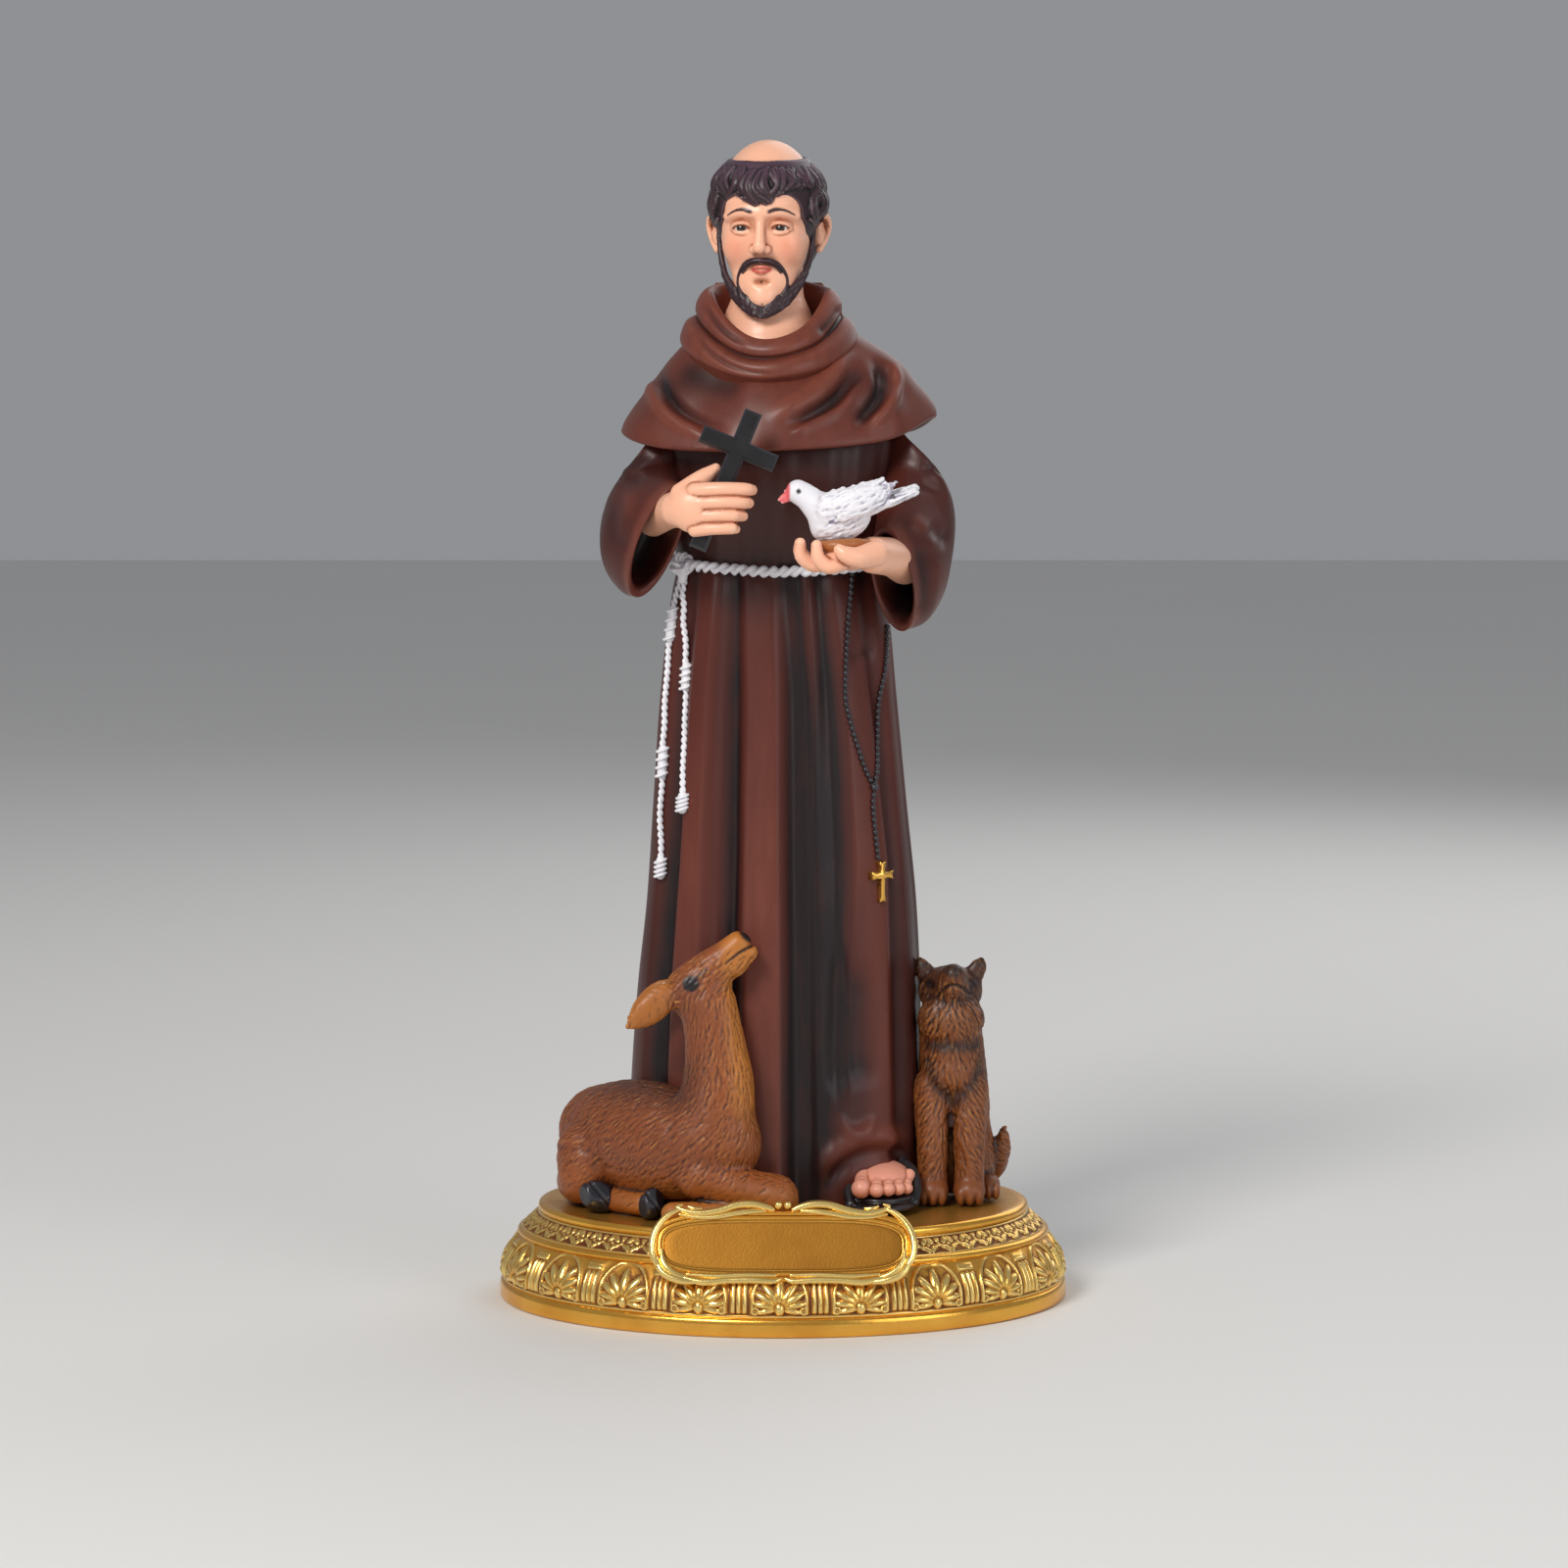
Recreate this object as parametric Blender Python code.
"""Painted resin statue of a friar saint on a gilt oval plinth, with a lying deer, a sitting dog, a dove and a cross.

Six castings: the plinth, the saint, the deer, the dog, the dove and the cross held in the saint's hand.
Run with blender --background --python part.py. Z is up, the statue faces -Y, and X runs to the viewer's right.
Lengths below are millimetres. The origin is the middle of the plinth's underside.
"""

import math

import bmesh
import bpy
from mathutils import Euler, Matrix, Vector

MM = 0.001

# Plinth: an oval of steps, each with its own height and the amount that it draws in
PLINTH_WIDTH = 148.0
PLINTH_DEPTH = 115.0
FOOT_HEIGHT = 5.0
BAND_HEIGHT = 11.8
BAND_DRAW_IN = 5.4
BAND_BULGE = 1.6
FILLET_HEIGHT = 1.6
FRIEZE_HEIGHT = 4.1
FRIEZE_DRAW_IN = 5.0
RIM_HEIGHT = 2.5
RIM_ROUND = 0.8
PALMETTES = 20
PALMETTE_WIDTH = 11.0
PALMETTE_RELIEF = 1.3
REED_WIDTH = 4.4
REED_RELIEF = 0.8
LEAF_RELIEF = 0.45

# Name plate: a leaning cartouche cast on the plinth's front, left bare
PLATE_WIDTH = 66.0
PLATE_HEIGHT = 20.0
PLATE_LEAN_DEG = 25.0
PLATE_THICKNESS = 3.4
PLATE_ROOT = 2.6
PLATE_FRAME = 2.6
PLATE_RECESS = 0.7
PLATE_CREST = 2.0
PLATE_RISE = 7.0
PLATE_INSET = 6.1
PALMETTE_SHIFT_DEG = -0.8

# Figures: each keeps its proportions, and its height or length sets its size
SAINT_HEIGHT = 275.0
DEER_HEIGHT = 74.6
DOG_HEIGHT = 62.6
DOVE_LENGTH = 35.5

# Cross in the hand
CROSS_LENGTH = 37.0
CROSS_SPAN = 20.0
CROSS_BAR = 4.5
CROSS_THICKNESS = 2.4
CROSS_EDGE = 0.35
CROSS_LEAN_DEG = 22.5

# Gap kept between castings that touch, and the wider one between an animal and the robe behind it
SEAT_GAP = 0.3
ROBE_CLEARANCE = 0.9

# Mesh fineness
VOXEL = 0.75
SAINT_TRIANGLES = 3100
DEER_TRIANGLES = 900
DOG_TRIANGLES = 800
DOVE_TRIANGLES = 420
OVAL_SEGMENTS = 48
PLATE_POINTS = 34
RING_POINTS = 48

PLINTH_TOP = FOOT_HEIGHT + BAND_HEIGHT + FILLET_HEIGHT + FRIEZE_HEIGHT + RIM_HEIGHT
FIGURE = SAINT_HEIGHT / 275.0
GROUND = PLINTH_TOP + SEAT_GAP


def clear_scene():
    for obj in list(bpy.data.objects):
        bpy.data.objects.remove(obj)


def paint(name, color, roughness, metallic=0.0):
    material = bpy.data.materials.new(name)
    material.use_nodes = True
    shader = material.node_tree.nodes["Principled BSDF"]
    shader.inputs["Base Color"].default_value = (*color, 1.0)
    shader.inputs["Roughness"].default_value = roughness
    shader.inputs["Metallic"].default_value = metallic
    material.diffuse_color = (*color, 1.0)
    return material


def new_object(name, form, material=None):
    """An object from a bmesh in millimetres, scaled to metres and shaded smooth."""
    mesh = bpy.data.meshes.new(name)
    bmesh.ops.recalc_face_normals(form, faces=form.faces)
    form.to_mesh(mesh)
    form.free()
    mesh.transform(Matrix.Scale(MM, 4))
    mesh.shade_smooth()
    mesh.set_sharp_from_angle(angle=math.radians(40))
    obj = bpy.data.objects.new(name, mesh)
    bpy.context.scene.collection.objects.link(obj)
    if material:
        mesh.materials.append(material)
    return obj


def as_cutter(obj):
    obj.hide_render = True
    obj.display_type = "WIRE"
    return obj


def boolean(obj, other, operation):
    modifier = obj.modifiers.new(f"{operation.lower()} {other.name}", "BOOLEAN")
    modifier.operation = operation
    modifier.solver = "EXACT"
    modifier.use_self = operation == "UNION"
    modifier.object = other


def smoothstep(x):
    x = min(1.0, max(0.0, x))
    return x * x * (3 - 2 * x)


def curve_value(stations, x):
    """A smooth curve through (x, value, value, ...) stations, read at x, as a list of values."""
    if x <= stations[0][0]:
        return list(stations[0][1:])
    if x >= stations[-1][0]:
        return list(stations[-1][1:])
    i = next(k for k in range(len(stations) - 1) if x <= stations[k + 1][0])
    before, after = stations[i], stations[i + 1]
    start = stations[max(0, i - 1)]
    end = stations[min(len(stations) - 1, i + 2)]
    step = after[0] - before[0]
    t = (x - before[0]) / step
    values = []
    for k in range(1, len(before)):
        slope_in = (after[k] - start[k]) / (after[0] - start[0]) * step
        slope_out = (end[k] - before[k]) / (end[0] - before[0]) * step
        values.append(
            (2 * t**3 - 3 * t**2 + 1) * before[k]
            + (t**3 - 2 * t**2 + t) * slope_in
            + (3 * t**2 - 2 * t**3) * after[k]
            + (t**3 - t**2) * slope_out
        )
    return values


class Clay:
    """Overlapping closed shapes, gathered in one bmesh, that are later fused into one casting.

    Points are given in the figure's own millimetres, then scaled and moved to where the figure stands.
    """

    def __init__(self, scale=1.0, place=(0.0, 0.0, 0.0), turn_deg=0.0):
        self.form = bmesh.new()
        self.matrix = (
            Matrix.Translation(Vector(place))
            @ Matrix.Rotation(math.radians(turn_deg), 4, "Z")
            @ Matrix.Scale(scale, 4)
        )

    def loft(self, rings, closed=False):
        """A skin over rings of equally many points, capped at both ends, or joined end to end."""
        loops = [[self.form.verts.new(self.matrix @ Vector(p)) for p in ring] for ring in rings]
        count = len(loops[0])
        pairs = list(zip(loops, loops[1:]))
        if closed:
            pairs.append((loops[-1], loops[0]))
        for low, high in pairs:
            for k in range(count):
                n = (k + 1) % count
                self.form.faces.new((low[k], low[n], high[n], high[k]))
        if not closed:
            self.form.faces.new(list(reversed(loops[0])))
            self.form.faces.new(loops[-1])

    def ball(self, center, radii, turn_deg=(0, 0, 0)):
        turn = Euler([math.radians(a) for a in turn_deg]).to_matrix().to_4x4()
        matrix = self.matrix @ Matrix.Translation(Vector(center)) @ turn @ Matrix.Diagonal((*radii, 1.0))
        bmesh.ops.create_icosphere(self.form, subdivisions=3, radius=1.0, matrix=matrix)

    def limb(self, stations, flat=1.0, flat_axis=(0, 1, 0), sides=14, steps_between=5, caps=3):
        """A round-ended tube through (x, y, z, radius) stations. flat narrows it along flat_axis."""
        across = Vector(flat_axis).normalized()
        line = [(k, *s) for k, s in enumerate(stations)]
        steps = steps_between * (len(stations) - 1)
        samples = [curve_value(line, k * (len(stations) - 1) / steps) for k in range(steps + 1)]
        centers = [Vector(s[:3]) for s in samples]
        radii = [s[3] for s in samples]
        first = (centers[1] - centers[0]).normalized()
        last = (centers[-1] - centers[-2]).normalized()
        bends = [math.radians(78 * (caps - k) / caps) for k in range(caps)]
        path = [(centers[0] - first * radii[0] * math.sin(a), radii[0] * math.cos(a)) for a in bends]
        path += list(zip(centers, radii))
        path += [(centers[-1] + last * radii[-1] * math.sin(a), radii[-1] * math.cos(a)) for a in reversed(bends)]
        rings = []
        side = first.orthogonal().normalized()
        for k, (center, radius) in enumerate(path):
            ahead = path[min(k + 1, len(path) - 1)][0] - path[max(k - 1, 0)][0]
            ahead.normalize()
            side = (side - ahead * side.dot(ahead)).normalized()
            up = ahead.cross(side)
            ring = []
            for j in range(sides):
                angle = 2 * math.pi * j / sides
                offset = (side * math.cos(angle) + up * math.sin(angle)) * radius
                offset -= across * offset.dot(across) * (1 - flat)
                ring.append(center + offset)
            rings.append(ring)
        self.loft(rings)


def cast(name, clay, material, triangles, smoothing=4):
    """Fuses a Clay into one closed casting of about that many triangles."""
    obj = new_object(name, clay.form, material)
    remesh = obj.modifiers.new("fuse", "REMESH")
    remesh.mode = "VOXEL"
    remesh.voxel_size = VOXEL * MM
    remesh.use_smooth_shade = True
    smooth = obj.modifiers.new("soften", "SMOOTH")
    smooth.factor = 0.5
    smooth.iterations = smoothing
    graph = bpy.context.evaluated_depsgraph_get()
    quads = len(obj.evaluated_get(graph).data.polygons)
    decimate = obj.modifiers.new("thin out", "DECIMATE")
    decimate.ratio = min(1.0, triangles / (2 * quads))
    decimate.use_collapse_triangulate = True
    return obj


# Robe: (height, centre x, centre y, half width, half depth)
ROBE_SECTIONS = [
    (0, -2.0, 4.0, 38.2, 28.0),
    (33, -1.6, 4.0, 37.4, 27.4),
    (57, -1.0, 3.8, 36.2, 26.4),
    (77, -0.4, 3.5, 34.6, 25.2),
    (103, -0.8, 3.2, 32.4, 23.4),
    (130, -1.2, 3.0, 30.2, 21.6),
    (158, -1.0, 2.6, 27.6, 19.8),
    (166, -1.0, 2.5, 26.4, 18.6),
    (175, -1.0, 2.0, 28.0, 20.4),
    (190, -1.0, 1.5, 31.5, 23.0),
    (204, -1.5, 1.0, 33.0, 22.0),
    (216, -2.5, 0.5, 24.0, 17.0),
    (226, -3.5, 0.5, 12.0, 11.0),
]
BELT_Z = 166.0

# Things lying on the skirt, by angle from the front and height
GIRDLE_TAILS = [
    ([(-66, 164), (-70, 150), (-68, 130), (-67, 111), (-65, 88)], [(-70, 150), (-67.2, 114.6)]),
    ([(-63, 164), (-58, 150), (-52, 125), (-48, 105)], [(-54.8, 137)]),
]
BEAD_STRANDS = [
    [(43.5, 164), (35.3, 145), (33.6, 133), (35.4, 126), (41.3, 115), (46.6, 109)],
    [(76, 149), (65, 139), (58.5, 130), (54.6, 120), (46.4, 108.6)],
    [(46.2, 110), (45, 105), (45, 90)],
]
BEAD_CROSS = (45.6, 84.8)

# Skirt folds: (angle at belt, angle at hem, half width in degrees, height of fold at hem, first z, last z).
# Angles run from the front towards the viewer's right. A hollow has a negative height.
SKIRT_FOLDS = [
    (-43, -40, 9, 2.2, 0, 166),
    (-25, -22, 7, -2.0, 0, 160),
    (-11, -10, 9, 2.2, 0, 166),
    (7, 9, 9, -2.6, 0, 160),
    (18, 17, 6, 1.6, 0, 75),
    (30, 27, 8, -1.8, 5, 85),
    (34, 44, 13, 2.4, 0, 145),
    (66, 64, 8, -1.6, 0, 120),
    (-64, -62, 8, -2.4, 0, 150),
    (-80, -78, 8, 1.6, 0, 150),
    (84, 82, 9, 1.4, 0, 150),
    (105, 104, 9, -1.8, 0, 150),
    (127, 126, 11, 2.0, 0, 155),
    (150, 149, 10, -2.0, 0, 150),
    (174, 174, 11, 2.2, 0, 155),
    (-160, -161, 10, -2.0, 0, 150),
    (-137, -138, 11, 2.0, 0, 155),
    (-112, -112, 10, -2.0, 0, 150),
]


def fold_height(angle_deg, z):
    """How far the skirt stands out at this angle and height."""
    total = 0.0
    for at_belt, at_hem, half_width, height, low, high in SKIRT_FOLDS:
        center = at_hem + (at_belt - at_hem) * min(1.0, max(0.0, z / BELT_Z))
        away = (angle_deg - center + 180) % 360 - 180
        if abs(away) > 3 * half_width:
            continue
        fade = smoothstep((high - z) / 45) * smoothstep((z - low + 12) / 12)
        total += height * fade * math.exp(-((away / half_width) ** 2))
    return total


def oval_point(center_x, center_y, half_width, half_depth, angle_deg, out=0.0):
    """A point on an oval. The angle runs from the front, -Y, towards +X."""
    angle = math.radians(angle_deg)
    across = Vector((math.sin(angle) / half_width, -math.cos(angle) / half_depth)).normalized()
    x = center_x + half_width * math.sin(angle) + across.x * out
    y = center_y - half_depth * math.cos(angle) + across.y * out
    return x, y


def robe_ring(z, out=0.0, count=96):
    center_x, center_y, half_width, half_depth = curve_value(ROBE_SECTIONS, z)
    ring = []
    for k in range(count):
        angle = 360 * k / count
        bulge = fold_height(angle, z) + out
        ring.append((*oval_point(center_x, center_y, half_width, half_depth, angle, bulge), z))
    return ring


def add_robe(clay):
    heights = [-3, 3, 8, 14] + list(range(20, 160, 7)) + [162, 166, 170, 175, 182, 190, 197, 204, 210, 216, 221, 226]
    clay.loft([robe_ring(z) for z in heights])


# Cape: (share of the way from hem to neck, half width, half depth, centre x)
CAPE_PROFILE = [
    (0.0, 40.2, 27.6, -1.5),
    (0.06, 39.7, 27.2, -1.4),
    (0.2, 37.6, 26.0, -1.0),
    (0.36, 34.4, 24.4, -0.6),
    (0.53, 31.0, 22.4, -0.5),
    (0.7, 25.8, 19.4, -1.4),
    (0.8, 22.2, 16.8, -2.1),
    (0.9, 18.6, 14.8, -2.8),
    (1.0, 15.0, 12.5, -3.5),
]
# Hem and neck line heights by angle from the front
CAPE_HEM = [(-180, 195), (-90, 200), (-40, 196), (0, 196), (40, 198), (84, 204), (120, 200), (180, 195)]
CAPE_NECK = [(-180, 232), (-90, 229), (0, 221), (90, 229), (180, 232)]
# Hanging folds of the cape: (angle, share of the way up, half width in degrees, half length share, height)
CAPE_FOLDS = [
    (-36, 0.45, 11, 0.30, -2.0),
    (-62, 0.25, 12, 0.35, 0.9),
    (-5, 0.35, 15, 0.35, 1.0),
    (32, 0.40, 9, 0.22, -1.6),
    (50, 0.30, 7, 0.35, 1.6),
    (64, 0.48, 7, 0.26, -1.6),
    (84, 0.10, 9, 0.20, 1.3),
    (140, 0.30, 12, 0.40, -1.5),
    (-135, 0.30, 12, 0.40, -1.5),
]


def cape_ring(share, inset=0.0, count=96):
    half_width, half_depth, center_x = curve_value(CAPE_PROFILE, share)
    ring = []
    for k in range(count):
        angle = 360 * k / count - 180
        hem = curve_value(CAPE_HEM, angle)[0]
        neck = curve_value(CAPE_NECK, angle)[0]
        out = -inset
        for at, up, spread, reach, height in CAPE_FOLDS:
            away = ((angle - at + 180) % 360 - 180) / spread
            out += height * math.exp(-(away**2) - ((share - up) / reach) ** 2)
        x, y = oval_point(center_x, 0.0, half_width, half_depth, angle, out)
        ring.append((x, y, hem + (neck - hem) * share))
    return ring


def add_cape(clay):
    shares = [0.0, 0.03, 0.08, 0.15, 0.25, 0.35, 0.45, 0.55, 0.65, 0.75, 0.83, 0.9, 0.96, 1.0]
    under = [(x, y, z - 0.8) for x, y, z in cape_ring(0.0, 7.0)]
    clay.loft([under] + [cape_ring(s) for s in shares])


# Cowl, as the outline of a cut through it: (half width, front depth, back depth, height at side, front, back)
COWL_SECTION = [
    (12.0, 13.0, 10.5, 221.0, 212.0, 226.0),
    (12.8, 14.8, 12.2, 229.5, 219.8, 233.0),
    (13.6, 16.2, 13.2, 233.6, 222.6, 237.0),
    (15.6, 17.6, 15.0, 236.4, 223.2, 239.0),
    (18.4, 19.8, 17.4, 233.4, 221.0, 236.4),
    (18.7, 19.4, 17.8, 229.6, 218.5, 232.4),
    (20.2, 20.9, 19.2, 228.8, 217.8, 231.0),
    (22.2, 22.1, 21.2, 226.0, 215.4, 228.0),
    (23.0, 21.4, 22.0, 222.4, 213.0, 224.0),
    (22.0, 18.5, 20.0, 218.0, 208.5, 219.0),
    (17.0, 15.0, 15.0, 217.0, 207.0, 219.0),
]
COWL_CENTER_X = -3.6
COWL_DIP = 1.5


def add_cowl(clay):
    """Two rolls of the hood round the neck, dipping in front, then the hood hanging behind."""
    rings = []
    for k in range(RING_POINTS):
        angle = 2 * math.pi * k / RING_POINTS
        ahead = math.cos(angle)
        ring = []
        for half_width, front, back, z_side, z_front, z_back in COWL_SECTION:
            depth, z_end = (front, z_front) if ahead > 0 else (back, z_back)
            z = z_side + (z_end - z_side) * abs(ahead) ** COWL_DIP
            ring.append((COWL_CENTER_X + half_width * math.sin(angle), -depth * ahead, z))
        rings.append(ring)
    clay.loft(rings, closed=True)
    hood = [
        (238, 13.0, 14.0, 4.0),
        (230, 18.0, 18.0, 7.5),
        (218, 18.5, 22.5, 8.5),
        (207, 13.5, 25.5, 7.5),
        (198, 8.0, 27.5, 5.5),
        (190, 2.6, 28.0, 2.4),
    ]
    rings = []
    for z in range(238, 189, -4):
        half_width, center_y, half_depth = curve_value([(-s[0], *s[1:]) for s in hood], -z)
        rings.append([(*oval_point(-3.5, center_y, half_width, half_depth, 15 * k), z) for k in range(24)])
    clay.loft(rings)


# Sleeves: rings of (centre, half vector to the top, half vector to the side), shoulder to cuff
RIGHT_SLEEVE = [
    ((-24, 2, 205), (4, -2, 10), (3, 12, 0)),
    ((-32, 1, 196), (6, -4, 9), (5, 12, 2)),
    ((-35.0, -2, 184), (8, -8, 11), (8, 9, -2)),
    ((-36.0, -9, 177), (5, -5, 14.5), (9.5, 5.5, 0)),
    ((-34.5, -17, 174), (4.5, -5, 15.5), (7.6, 4.8, 0.5)),
    ((-32.0, -24, 172.4), (5.2, -6, 14.4), (5.4, 4.6, 0)),
]
LEFT_SLEEVE = [
    ((22, 2, 205), (-4, -2, 10), (-3, 12, 0)),
    ((30, 1, 196), (-6, -4, 9), (-5, 12, 2)),
    ((33.5, -2, 184), (-6, -7, 12), (-8.5, 9, -2)),
    ((33.5, -8, 174), (-4, -5, 16.5), (-8.5, 6, 0)),
    ((31.5, -16, 167.0), (-3, -5, 16), (-7.5, 5, 0.5)),
    ((28.0, -23, 163.0), (-2.5, -5, 13.5), (-5.2, 4.5, 0)),
]
CUFF_DEPTH = 7.0
CUFF_WALL = 0.80


def sleeve_ring(center, up, side, size=1.0, count=28):
    center, up, side = Vector(center), Vector(up) * size, Vector(side) * size
    return [
        center + up * math.cos(2 * math.pi * k / count) + side * math.sin(2 * math.pi * k / count)
        for k in range(count)
    ]


def add_sleeve(clay, stations):
    """A wide sleeve whose cuff is hollow, so the arm comes out of a real opening."""
    line = [(k, *c, *u, *s) for k, (c, u, s) in enumerate(stations)]
    rings = []
    last = len(stations) - 1
    for k in range(4 * last + 1):
        v = curve_value(line, k / 4)
        rings.append(sleeve_ring(v[:3], v[3:6], v[6:9]))
    center, up, side = (Vector(v) for v in stations[-1])
    inward = (Vector(stations[-2][0]) - center).normalized() * CUFF_DEPTH
    rings.append(sleeve_ring(center, up, side, (1 + CUFF_WALL) / 2))
    rings.append(sleeve_ring(center + inward * 0.15, up, side, CUFF_WALL))
    rings.append(sleeve_ring(center + inward, up, side, CUFF_WALL * 0.9))
    clay.loft(rings)


# Palm seat of the dove, and the fist's line round the cross
DOVE_SEAT = (15.5, -41.0, 172.8)
CROSS_CENTER = (-11.1, -37.6, 196.1)


def add_right_hand(clay):
    clay.limb([(-34, -16, 176.5, 5.4), (-30.5, -29, 180, 5.2), (-27.0, -36.5, 181.3, 5.6)])
    clay.ball((-22.0, -39.3, 181.4), (7.2, 4.2, 6.8), (0, 4, -8))
    tips = (-7.8, -8.6, -10.0, -11.8)
    for k, tip in enumerate(tips):
        z = 186.0 - 3.25 * k
        clay.limb([(-21, -41.0, z, 2.1), (-15.5, -42.4, z, 2.0), (tip - 3, -42.2, z, 1.85), (tip, -40.6, z - 0.3, 1.5)])
    clay.limb([(-25.5, -37.5, 185.3, 2.9), (-20.5, -36.4, 189.4, 2.4), (-16.8, -35.4, 191.2, 1.7)])


def add_left_hand(clay):
    clay.limb([(31, -14, 166, 5.2), (27.5, -27, 168.5, 5.0), (22.5, -38, 169.6, 4.7)], flat=0.9, flat_axis=(0, 0, 1))
    clay.ball((16.5, -42.0, 169.4), (8.0, 6.4, 3.4), (0, -5, 8))
    for k in range(4):
        x, y = 4.2 + (4.2 if k == 0 else 0.0), -47.2 + 3.3 * k
        clay.limb(
            [
                (x + 8.0, y + 0.6, 168.4, 2.0),
                (x + 3.2, y, 167.8, 1.9),
                (x + 0.5, y, 169.8, 1.75),
                (x, y, 172.4, 1.5),
            ]
        )
    clay.limb([(21.5, -46.0, 170.0, 2.9), (17.5, -48.6, 169.8, 2.5), (14.8, -49.2, 170.8, 1.9)])
    x, y, z = DOVE_SEAT
    clay.loft([[(*oval_point(x, y, 5.2, 4.0, 20 * k), h) for k in range(18)] for h in (z - 5, z)])


# Head: yawed a little to the viewer's left and bowed
HEAD_CENTER = Vector((-4.0, -1.0, 253.0))
HEAD_TURN_DEG = (6, 0, -7)
HEAD_TURN = Euler([math.radians(a) for a in HEAD_TURN_DEG])


def on_head(x, y, z):
    """A point given from the middle of the skull, in the head's own directions."""
    return HEAD_CENTER + HEAD_TURN.to_matrix() @ Vector((x, y, z))


def add_head(clay):
    clay.limb([(-3.5, 2.0, 216, 12.0), (-3.8, 2.0, 228, 9.6), (-4.0, 1.0, 244, 8.8)])
    clay.ball((-3.5, -2.0, 225.0), (13.0, 11.5, 9.0))
    clay.ball(on_head(0, 2.6, 4.8), (13.0, 16.6, 17.0), HEAD_TURN_DEG)
    clay.ball(on_head(0, -4.6, -2.6), (11.4, 10.6, 15.4), HEAD_TURN_DEG)
    clay.ball(on_head(0, -9.4, -15.6), (6.4, 5.6, 5.4), HEAD_TURN_DEG)
    clay.limb([(*on_head(-8.4, -12.0, 4.0), 1.4), (*on_head(0, -14.4, 4.4), 1.7), (*on_head(8.4, -12.0, 4.0), 1.4)])
    nose = ((0, -14.4, 3.0, 1.2), (0, -16.4, -1.8, 1.4), (0, -17.4, -5.0, 1.9), (0, -16.0, -6.0, 1.6))
    clay.limb([(*on_head(x, y, z), radius) for x, y, z, radius in nose])
    clay.ball(on_head(0, -14.6, -11.2), (3.2, 1.8, 1.7), HEAD_TURN_DEG)
    for side in (-1, 1):
        clay.ball(on_head(side * 13.2, 2.0, -1.5), (1.8, 3.0, 4.6), HEAD_TURN_DEG)
        clay.ball(on_head(side * 6.2, -10.4, -5.0), (4.0, 3.8, 4.2))
        clay.ball(on_head(side * 1.9, -15.4, -5.8), (1.3, 1.5, 1.3))
        beard = ((12.0, -3.0, 0.5, 1.7), (11.0, -6.0, -9.0, 2.2), (7.4, -10.6, -17.0, 2.9), (1.6, -13.6, -20.4, 3.0))
        clay.limb([(*on_head(side * x, y, z), radius) for x, y, z, radius in beard])
        moustache = ((0.5, -15.6, -8.4, 1.1), (4.2, -14.4, -10.0, 1.2), (6.0, -12.6, -14.0, 1.6))
        clay.limb([(*on_head(side * x, y, z), radius) for x, y, z, radius in moustache])
    add_hair(clay)


def add_hair(clay):
    """A tonsure: a ring of curls over the brow, deeper behind the ears and at the nape."""
    clay.ball(on_head(0, 8.6, 1.0), (13.6, 12.6, 13.6), HEAD_TURN_DEG)
    for row, (lift, swell) in enumerate(((0.0, 0.0), (-6.6, 0.5), (-13.0, -0.4))):
        locks = 20
        for k in range(locks):
            angle = 360 * (k + 0.5 * row) / locks
            back = (1 - math.cos(math.radians(angle))) / 2
            if (row == 1 and back < 0.26) or (row == 2 and back < 0.62):
                continue
            x, y = oval_point(0, 2.0, 12.6 + swell, 15.6 + swell, angle)
            z = 12.4 - 1.6 * back + lift
            size = 3.3 + 0.5 * ((k * 7 + row * 3) % 5) / 4
            clay.ball(on_head(x, y, z), (size, size, size * 1.35))


def add_foot(clay):
    """The left foot in its sandal, under the lifted hem."""
    sole = [(*oval_point(25.5, -18.5, 8.4, 11.0, 15 * k), -3) for k in range(24)]
    clay.loft([sole, [(x, y, 4.2) for x, y, _ in sole]])
    clay.ball((25.5, -15.0, 6.0), (7.4, 9.6, 5.6))
    for k in range(5):
        x = 20.2 + 2.75 * k
        clay.limb([(x, -18, 8.4, 2.3), (x, -24.6 + 0.6 * k, 8.0, 2.1), (x - 0.4, -27.4 + 0.9 * k, 6.4, 1.6)])
    hem = ((14.5, -19.5, 2, 1.6), (16.5, -20.6, 9, 1.8), (21, -21, 13.2, 1.8), (28, -18.5, 14, 1.8), (33, -13, 11.5, 1.6))
    clay.limb(hem)


def add_rib(clay, path, half_width, rise, sink=2.2, closed=False):
    """A cord in relief with flanks that splay inwards. path holds (point, outward direction) pairs."""
    count = len(path)
    rings = []
    for k, (point, out) in enumerate(path):
        if closed:
            ahead = path[(k + 1) % count][0] - path[k - 1][0]
        else:
            ahead = path[min(k + 1, count - 1)][0] - path[max(k - 1, 0)][0]
        side = ahead.cross(out).normalized()
        top = point + out * rise
        low = point - out * sink
        narrow = side * half_width * 0.6
        wide = side * half_width * 1.3
        rings.append([low - wide, low + wide, top + narrow, top - narrow])
    clay.loft(rings, closed=closed)


def on_robe(angle, z):
    """The robe's surface at this angle and height, with its outward direction."""
    _, _, half_width, half_depth = curve_value(ROBE_SECTIONS, z)
    across = Vector((math.sin(math.radians(angle)) / half_width, -math.cos(math.radians(angle)) / half_depth, 0))
    return Vector(robe_point(angle, z)), across.normalized()


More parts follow.
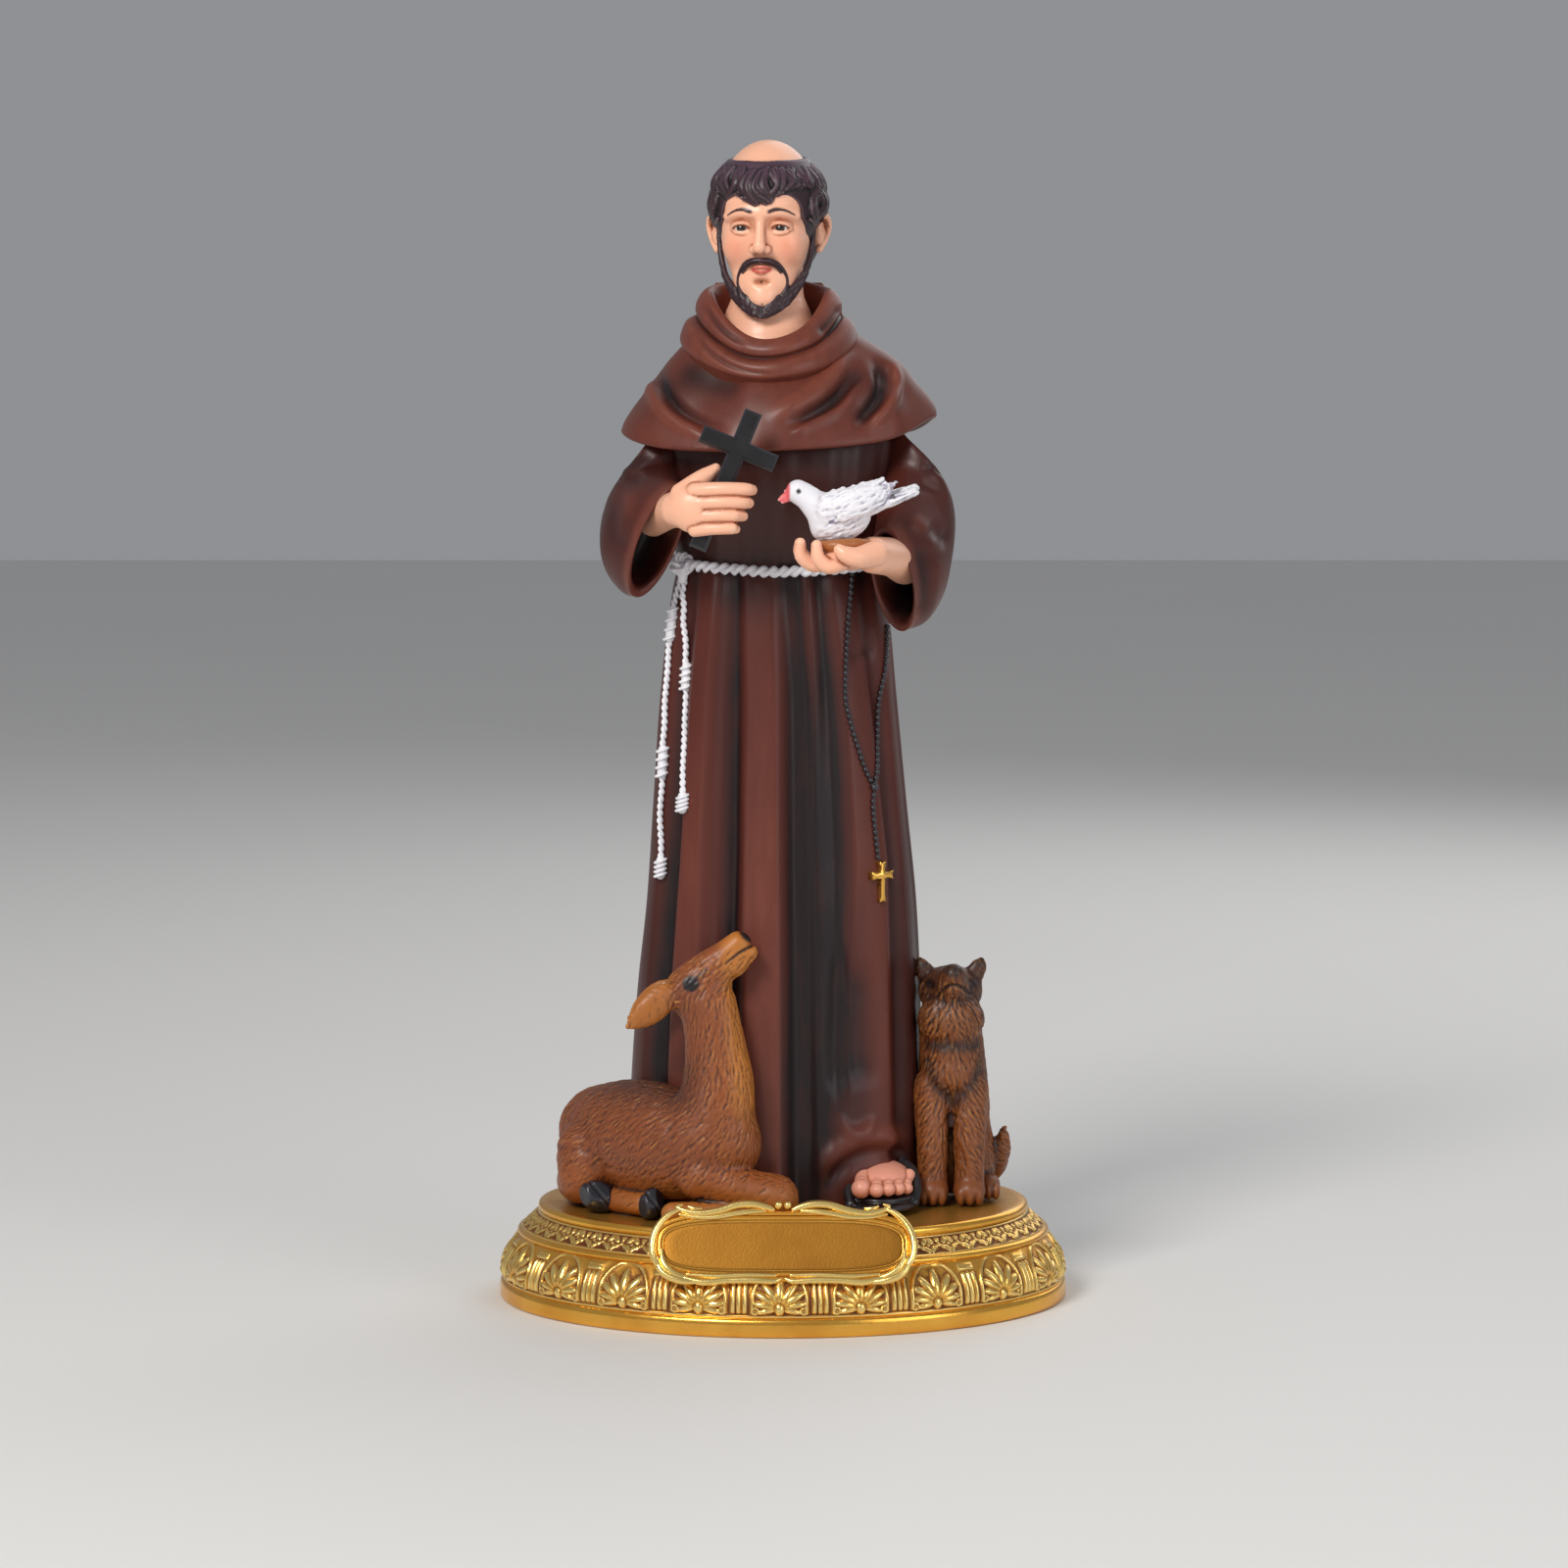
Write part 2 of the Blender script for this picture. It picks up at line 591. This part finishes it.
def girdle():
    """The rope round the waist with its two knotted tails, and the beads with their cross, in relief."""
    clay = Clay(FIGURE, (0, 0, GROUND))
    count = 28
    waist = []
    for k in range(count):
        angle = 360 * (k + 0.5) / count
        signed = angle if angle < 180 else angle - 360
        waist.append(on_robe(angle, BELT_Z + 0.2 - 1.4 * math.exp(-((signed / 40) ** 2))))
    add_rib(clay, waist, 1.5, 2.2, closed=True)
    for path, knots in GIRDLE_TAILS:
        add_rib(clay, [on_robe(*station) for station in path], 1.0, 1.0)
        for angle, z in knots:
            add_rib(clay, [on_robe(angle, z + 3.4), on_robe(angle, z), on_robe(angle, z - 3.4)], 1.6, 1.6)
    add_rib(clay, [on_robe(-63, BELT_Z + 2.8), on_robe(-63, BELT_Z - 3.8)], 2.6, 3.2)
    for path in BEAD_STRANDS:
        add_rib(clay, [on_robe(*station) for station in path], 0.7, 0.8)
    angle, z = BEAD_CROSS
    add_rib(clay, [on_robe(angle, z + 5.3), on_robe(angle, z - 5.3)], 1.2, 1.2)
    add_rib(clay, [on_robe(angle - 5.6, z + 1.7), on_robe(angle + 5.6, z + 2.1)], 1.1, 1.1)
    return as_cutter(new_object("girdle_and_beads", clay.form))


def robe_point(angle_deg, z, out=0.0):
    section = curve_value(ROBE_SECTIONS, z)
    x, y = oval_point(*section, angle_deg, fold_height(angle_deg, z) + out)
    return x, y, z


def make_saint(material, cross_clearance):
    clay = Clay(FIGURE, (0, 0, GROUND))
    add_robe(clay)
    add_cape(clay)
    add_cowl(clay)
    add_sleeve(clay, RIGHT_SLEEVE)
    add_sleeve(clay, LEFT_SLEEVE)
    add_right_hand(clay)
    add_left_hand(clay)
    add_head(clay)
    add_foot(clay)
    saint = cast("saint", clay, material, SAINT_TRIANGLES)
    boolean(saint, girdle(), "UNION")
    boolean(saint, ground_cutter("saint_ground"), "DIFFERENCE")
    boolean(saint, seat_cutter(), "DIFFERENCE")
    boolean(saint, cross_clearance, "DIFFERENCE")
    return saint


def block(name, low, high):
    form = bmesh.new()
    bmesh.ops.create_cube(form, size=1.0)
    size = Vector(high) - Vector(low)
    middle = (Vector(high) + Vector(low)) / 2
    bmesh.ops.transform(form, matrix=Matrix.Translation(middle) @ Matrix.Diagonal((*size, 1.0)), verts=form.verts)
    return new_object(name, form)


def ground_cutter(name):
    """Trims a casting flat, a gap above the plinth's top."""
    reach = PLINTH_WIDTH
    return as_cutter(block(name, (-reach, -reach, GROUND - 20), (reach, reach, GROUND)))


def seat_cutter():
    """Trims the palm flat where the dove sits."""
    x, y, z = Vector(DOVE_SEAT) * FIGURE
    form = bmesh.new()
    matrix = Matrix.Translation((x, y, z + GROUND + 6 * FIGURE))
    bmesh.ops.create_cone(
        form, cap_ends=True, segments=28, radius1=6.2 * FIGURE, radius2=9.0 * FIGURE, depth=12 * FIGURE, matrix=matrix
    )
    return as_cutter(new_object("dove_seat_cutter", form))


def robe_cutter():
    """The skirt with room round it, which an animal beside it is cut back from."""
    clay = Clay(FIGURE, (0, 0, GROUND))
    room = ROBE_CLEARANCE / FIGURE
    clay.loft([robe_ring(z, room, 48) for z in (-5, 15, 40, 65, 90, 115)])
    return as_cutter(new_object("robe_room", clay.form))


# Deer: lying on folded legs along the robe's left front, its neck and muzzle stretched up
def make_deer(material, robe_room):
    clay = Clay(DEER_HEIGHT / 74.6, (-30 * FIGURE, -24 * FIGURE, GROUND))
    clay.limb([(-16.5, 24.5, 17.5, 12.2), (-7, 10.5, 18, 15.2), (6, -2.8, 18.5, 13.6), (14.0, -6.5, 19.5, 10.6)], flat=0.84)
    clay.ball((-16.5, 21.0, 12.4), (10.5, 10.5, 12.7))
    clay.limb([(11.5, -6.5, 22, 11.0), (13.5, -6.5, 34, 9.0), (12.6, -6.0, 46, 7.5), (11.0, -5.4, 55, 7.2)], flat=0.86)
    clay.limb([(6.5, -5.0, 58.5, 6.6), (10.5, -5.0, 62, 6.2), (15.4, -5.0, 66.8, 4.5), (19.4, -5.0, 70.6, 3.4)], flat=0.86)
    clay.limb([(17.5, -5.0, 65.0, 3.2), (22.4, -5.0, 68.6, 2.0)])
    for side in (-1, 1):
        ear = ((3.0, 3.0, 59.0, 2.2), (-2.5, 5.4, 55.0, 4.4), (-9.4, 7.6, 49.6, 1.2))
        clay.limb([(x, side * y - 5.0, z, r) for x, y, z, r in ear], flat=0.45, flat_axis=(0, 1, 0.2))
    clay.limb([(9, -10.0, 12, 6.4), (20, -10.8, 8.2, 5.8), (28.0, -11.2, 6.0, 6.2)])
    clay.limb([(27.4, -11.5, 4.4, 4.8), (15, -13.8, 3.0, 3.4), (3.0, -14.2, 2.8, 3.0)])
    clay.limb([(10, -1.0, 10, 5.0), (20, -2.5, 6.0, 4.6), (24, -4.5, 3.8, 4.1)])
    clay.limb([(-20, 12.0, 14, 8.8), (-21.5, 10.0, 8.0, 6.6), (-22.8, 17.0, 5.8, 6.2), (-23.5, 24.0, 4.4, 4.6)])
    clay.limb([(-21.5, 16, 3.0, 3.6), (-19.0, 13.4, 4.0, 4.2)])
    clay.ball((-17.2, 3.2, 4.2), (5.4, 3.8, 4.5), (0, 16, 0))
    clay.limb([(-13, 3.5, 3.2, 3.4), (-6.0, -3.0, 3.2, 3.1)])
    clay.ball((-3.4, -6.2, 4.1), (2.9, 3.3, 4.4), (0, 12, 0))
    deer = cast("deer", clay, material, DEER_TRIANGLES, 3)
    boolean(deer, ground_cutter("deer_ground"), "DIFFERENCE")
    boolean(deer, robe_room, "DIFFERENCE")
    return deer


# Dog: sitting at the robe's right, facing forward, its muzzle raised
def make_dog(material, robe_room):
    clay = Clay(DOG_HEIGHT / 62.6, (44.5 * FIGURE, -2 * FIGURE, GROUND))
    clay.limb([(0.0, 8.0, 10, 10.3), (0.2, 4.0, 24, 9.6), (-0.4, 0.0, 36, 9.2), (-1.0, 0.5, 46, 8.4)])
    clay.ball((-1.0, -3.6, 47.8), (8.9, 7.0, 7.4))
    clay.ball((-1.0, -3.6, 33.0), (7.6, 6.6, 7.0))
    clay.ball((-1.0, 1.0, 54.5), (8.2, 7.4, 6.8))
    clay.limb([(-1.0, -3.0, 54.0, 6.0), (-0.8, -7.4, 58.0, 4.2), (-0.4, -9.4, 60.6, 2.9)])
    for side in (-1, 1):
        clay.limb([(side * 5.6 - 1.0, 1.5, 58, 3.0), (side * 7.4 - 1.0, 1.6, 62.0, 1.3)], flat=0.6)
        clay.limb([(side * 4.6 - 1, -2.5, 30, 5.6), (side * 4.8 - 1, -6.0, 16, 4.3), (side * 4.8 - 1, -6.6, 6, 4.0)])
        clay.ball((side * 4.8 - 1, -8.0, 3.5), (4.3, 4.4, 4.0))
        clay.ball((side * 6.2, 7.0, 10), (5.2, 8.0, 10.4))
    clay.ball((8.4, 1.0, 3.3), (3.2, 5.0, 3.7))
    clay.limb([(4, 14, 4, 3.4), (10, 12, 6, 3.4), (12.6, 8, 12, 2.8), (13.4, 6.5, 17.4, 1.3)])
    dog = cast("dog", clay, material, DOG_TRIANGLES, 3)
    boolean(dog, ground_cutter("dog_ground"), "DIFFERENCE")
    boolean(dog, robe_room, "DIFFERENCE")
    return dog


# Dove: its head to the viewer's left, tail raised to the right, flat under the breast where it is glued
def make_dove(material):
    seat = Vector(DOVE_SEAT) * FIGURE + Vector((0, 0, GROUND + SEAT_GAP))
    clay = Clay(DOVE_LENGTH / 35.5, seat)
    clay.ball((0, 0, 6.4), (9.6, 6.2, 6.6), (0, -28, 0))
    clay.limb([(-5.0, 0, 8.6, 5.0), (-8.6, 0, 11.2, 3.9), (-10.6, 0, 12.2, 3.7)])
    clay.limb([(-13.4, 0, 11.8, 1.5), (-16.2, 0, 11.0, 0.8)])
    for side in (-1, 1):
        clay.limb([(-3, side * 5.0, 9.0, 4.0), (3.5, side * 5.8, 10.6, 4.2), (10.5, side * 4.0, 13.6, 2.8), (13.5, side * 3.0, 15.4, 1.2)], flat=0.55)
    clay.limb([(5, 0, 8.6, 4.4), (12, 0, 11.6, 3.6), (18.6, 0, 14.2, 2.2)], flat=0.6, flat_axis=(-0.4, 0, 1))
    dove = cast("dove", clay, material, DOVE_TRIANGLES, 2)
    x, y, z = seat
    boolean(dove, as_cutter(block("dove_flat_cutter", (x - 40, y - 30, z - 20), (x + 40, y + 30, z))), "DIFFERENCE")
    return dove


def cross_form(room):
    """The cross as a closed bmesh about its crossing, with room added all round."""
    arm = CROSS_BAR / 2 + room
    span = CROSS_SPAN / 2 + room
    top = CROSS_LENGTH * 0.27 + room
    foot = CROSS_LENGTH * 0.73 + room
    outline = [
        (-arm, -foot), (arm, -foot), (arm, -arm), (span, -arm), (span, arm), (arm, arm),
        (arm, top), (-arm, top), (-arm, arm), (-span, arm), (-span, -arm), (-arm, -arm),
    ]
    form = bmesh.new()
    face = form.faces.new([form.verts.new((x, -CROSS_THICKNESS / 2 - room, z)) for x, z in outline])
    made = bmesh.ops.extrude_face_region(form, geom=[face])
    moved = [v for v in made["geom"] if isinstance(v, bmesh.types.BMVert)]
    bmesh.ops.translate(form, verts=moved, vec=(0, CROSS_THICKNESS + 2 * room, 0))
    place = Vector(CROSS_CENTER) * FIGURE + Vector((0, 0, GROUND))
    turn = Matrix.Rotation(math.radians(CROSS_LEAN_DEG), 4, "Y")
    tip = Matrix.Rotation(math.radians(-4), 4, "X")
    bmesh.ops.transform(form, matrix=Matrix.Translation(place) @ tip @ turn, verts=form.verts)
    return form


def make_hand_cross(material):
    cross = new_object("hand_cross", cross_form(0.0), material)
    bevel = cross.modifiers.new("eased edges", "BEVEL")
    bevel.width = CROSS_EDGE * MM
    bevel.segments = 1
    bevel.limit_method = "ANGLE"
    bevel.angle_limit = math.radians(40)
    return cross


def plinth_profile():
    """(draw-in, height, leaf relief) from the underside up, for the plinth's side."""
    band_top = FOOT_HEIGHT + BAND_HEIGHT
    frieze_low = band_top + FILLET_HEIGHT
    rim_low = frieze_low + FRIEZE_HEIGHT
    top_inset = BAND_DRAW_IN + FRIEZE_DRAW_IN
    points = [(0.5, 0.0, 0.0), (0.0, 0.6, 0.0), (0.0, FOOT_HEIGHT - 0.6, 0.0), (0.9, FOOT_HEIGHT, 0.0)]
    steps = 3
    for k in range(1, steps + 1):
        t = k / steps
        bulge = BAND_BULGE * math.sin(math.pi * t)
        draw_in = 1.2 + (BAND_DRAW_IN - 1.2) * t**1.3 - bulge * (1 - 0.4 * t)
        points.append((draw_in, FOOT_HEIGHT + BAND_HEIGHT * t, 0.0))
    points.append((BAND_DRAW_IN - 0.7, band_top + 0.3, 0.0))
    points.append((BAND_DRAW_IN - 0.7, frieze_low - 0.4, 0.0))
    points.append((BAND_DRAW_IN + 0.4, frieze_low, LEAF_RELIEF))
    points.append((top_inset, rim_low, LEAF_RELIEF))
    points.append((top_inset - 0.3, rim_low + 0.5, 0.0))
    points.append((top_inset - 0.3, PLINTH_TOP - RIM_ROUND, 0.0))
    points.append((top_inset - 0.3 + RIM_ROUND, PLINTH_TOP, 0.0))
    return points


def plinth_ring(draw_in, z, relief=0.0, count=OVAL_SEGMENTS):
    half_width = PLINTH_WIDTH / 2
    half_depth = PLINTH_DEPTH / 2
    ring = []
    for k in range(count):
        out = relief * (1 if k % 2 else -1) - draw_in
        ring.append((*oval_point(0, 0, half_width, half_depth, 360 * k / count, out), z))
    return ring


def stations_round_oval(count):
    """Angles that split the plinth's outline into equal lengths, the first one at the front."""
    fine = 3600
    points = [Vector(oval_point(0, 0, PLINTH_WIDTH / 2, PLINTH_DEPTH / 2, 360 * k / fine)) for k in range(fine + 1)]
    lengths = [0.0]
    for a, b in zip(points, points[1:]):
        lengths.append(lengths[-1] + (b - a).length)
    angles = []
    k = 0
    for n in range(count):
        while lengths[k] < lengths[-1] * n / count:
            k += 1
        angles.append(360 * k / fine)
    return angles


def band_frame(angle_deg):
    """A matrix whose X runs along the plinth's side, Y points in and Z up, at the middle of the band."""
    inset = (1.2 + BAND_DRAW_IN) / 2 - BAND_BULGE * 0.8
    x, y = oval_point(0, 0, PLINTH_WIDTH / 2, PLINTH_DEPTH / 2, angle_deg, -inset)
    outer = Vector(oval_point(0, 0, PLINTH_WIDTH / 2, PLINTH_DEPTH / 2, angle_deg, 5.0))
    out = (outer - Vector((x, y))).normalized()
    lean = math.atan2(BAND_DRAW_IN - 1.2, BAND_HEIGHT)
    turn = math.atan2(out.x, -out.y)
    return (
        Matrix.Translation((x, y, FOOT_HEIGHT + BAND_HEIGHT / 2))
        @ Matrix.Rotation(turn, 4, "Z")
        @ Matrix.Rotation(-lean, 4, "X")
    )


def add_palmette(form, matrix):
    """A fan of ridges over an arch."""
    sunk = 2.0
    base_z = -BAND_HEIGHT * 0.42
    height = BAND_HEIGHT * 0.86
    rim = []
    steps = 6
    for k in range(steps + 1):
        angle = math.pi * k / steps
        ridge = k % 2 == 1
        reach = 1.0 if ridge else 0.84
        x = -math.cos(angle) * PALMETTE_WIDTH / 2 * reach
        z = base_z + math.sin(angle) ** 0.8 * height * reach
        rim.append((x, -PALMETTE_RELIEF * (0.9 if ridge else 0.0), z))
    front = [form.verts.new(matrix @ Vector(p)) for p in rim]
    back = [form.verts.new(matrix @ Vector((x * 0.9, sunk, z * 0.9))) for x, _, z in rim]
    hub = form.verts.new(matrix @ Vector((0, -PALMETTE_RELIEF * 0.5, base_z + height * 0.2)))
    for left, right in zip(front, front[1:]):
        form.faces.new((left, right, hub))
    for k in range(steps):
        form.faces.new((front[k + 1], front[k], back[k], back[k + 1]))
    form.faces.new(back)
    form.faces.new((front[0], hub, front[-1]))
    form.faces.new((front[0], front[-1], back[-1], back[0]))


def add_reeds(form, matrix):
    """The short block of flutes between two palmettes."""
    height = BAND_HEIGHT * 0.66
    size = Matrix.Diagonal((REED_WIDTH, REED_RELIEF * 2 + 2, height, 1))
    bmesh.ops.create_cube(form, size=1.0, matrix=matrix @ Matrix.Translation((0.0, 1.0, -0.8)) @ size)


def plate_outline(grow, count=PLATE_POINTS):
    """The cartouche's outline about its own middle, larger by grow. The crest is two waves and a knop."""
    points = []
    for k in range(count):
        angle = 2 * math.pi * (k + 0.5) / count
        c, s = math.cos(angle), math.sin(angle)
        x = math.copysign(abs(c) ** 0.62, c) * (PLATE_WIDTH / 2 + grow)
        z = math.copysign(abs(s) ** 0.72, s) * (PLATE_HEIGHT / 2 + grow)
        if s > 0.35 and grow >= 0:
            across = abs(x) / (PLATE_WIDTH / 2)
            wave = math.exp(-(((across - 0.34) / 0.18) ** 2)) + 0.9 * math.exp(-((across / 0.07) ** 2))
            z += PLATE_CREST * wave * smoothstep((s - 0.35) / 0.4)
        points.append((x, z))
    return points


def plate_frame():
    """Places the cartouche: X along it, Y into the plinth, Z up its face, leaning back."""
    z = PLINTH_TOP + PLATE_RISE - PLATE_HEIGHT / 2 * math.cos(math.radians(PLATE_LEAN_DEG))
    y = -PLINTH_DEPTH / 2 + PLATE_INSET
    return Matrix.Translation((0, y, z)) @ Matrix.Rotation(math.radians(-PLATE_LEAN_DEG), 4, "X")


def make_plate():
    """The cartouche: its lower half is rooted in the plinth, its upper half stands free above the rim."""
    matrix = plate_frame()
    layers = [
        (-0.6, PLATE_THICKNESS),
        (0.0, PLATE_THICKNESS - 0.6),
        (0.0, 0.8),
        (-0.8, 0.0),
        (-PLATE_FRAME + 0.5, 0.0),
        (-PLATE_FRAME, PLATE_RECESS),
    ]
    form = bmesh.new()
    rings = []
    for grow, depth in layers:
        outline = plate_outline(-0.01 if grow < -1 else 0.0)
        shrink_x = (PLATE_WIDTH / 2 + grow) / (PLATE_WIDTH / 2)
        shrink_z = (PLATE_HEIGHT / 2 + grow) / (PLATE_HEIGHT / 2)
        ring = []
        for x, z in outline:
            root = PLATE_ROOT * smoothstep((PLATE_HEIGHT / 2 - PLATE_RISE - z) / 2) if depth > 1 else 0.0
            ring.append(form.verts.new(matrix @ Vector((x * shrink_x, depth + root, z * shrink_z))))
        rings.append(ring)
    for low, high in zip(rings, rings[1:]):
        for k in range(len(low)):
            n = (k + 1) % len(low)
            form.faces.new((low[k], low[n], high[n], high[k]))
    hub = form.verts.new(matrix @ Vector((0, PLATE_THICKNESS + PLATE_ROOT / 2, 0)))
    for k in range(len(rings[0])):
        form.faces.new((rings[0][k], rings[0][(k + 1) % len(rings[0])], hub))
    form.faces.new(rings[-1])
    return as_cutter(new_object("name_plate", form))


def make_plinth(material):
    clay = Clay()
    clay.loft([plinth_ring(*station) for station in plinth_profile()])
    plinth = new_object("plinth", clay.form, material)
    carving = bmesh.new()
    stations = stations_round_oval(2 * PALMETTES)
    for k, angle in enumerate(stations):
        place = band_frame(angle + PALMETTE_SHIFT_DEG)
        if k % 2 == 0:
            add_palmette(carving, place)
        else:
            add_reeds(carving, place)
    boolean(plinth, as_cutter(new_object("band_carving", carving)), "UNION")
    boolean(plinth, make_plate(), "UNION")
    return plinth


def main():
    clear_scene()
    gilt = paint("gilt", (0.83, 0.58, 0.16), 0.24, 1.0)
    habit_brown = paint("habit_brown", (0.16, 0.055, 0.032), 0.45)
    deer_tan = paint("deer_tan", (0.42, 0.17, 0.05), 0.5)
    dog_brown = paint("dog_brown", (0.27, 0.12, 0.05), 0.5)
    dove_white = paint("dove_white", (0.82, 0.80, 0.80), 0.5)
    cross_black = paint("cross_black", (0.02, 0.014, 0.012), 0.4)
    make_plinth(gilt)
    robe_room = robe_cutter()
    cross_room = as_cutter(new_object("cross_room", cross_form(SEAT_GAP)))
    make_saint(habit_brown, cross_room)
    make_deer(deer_tan, robe_room)
    make_dog(dog_brown, robe_room)
    make_dove(dove_white)
    make_hand_cross(cross_black)


main()
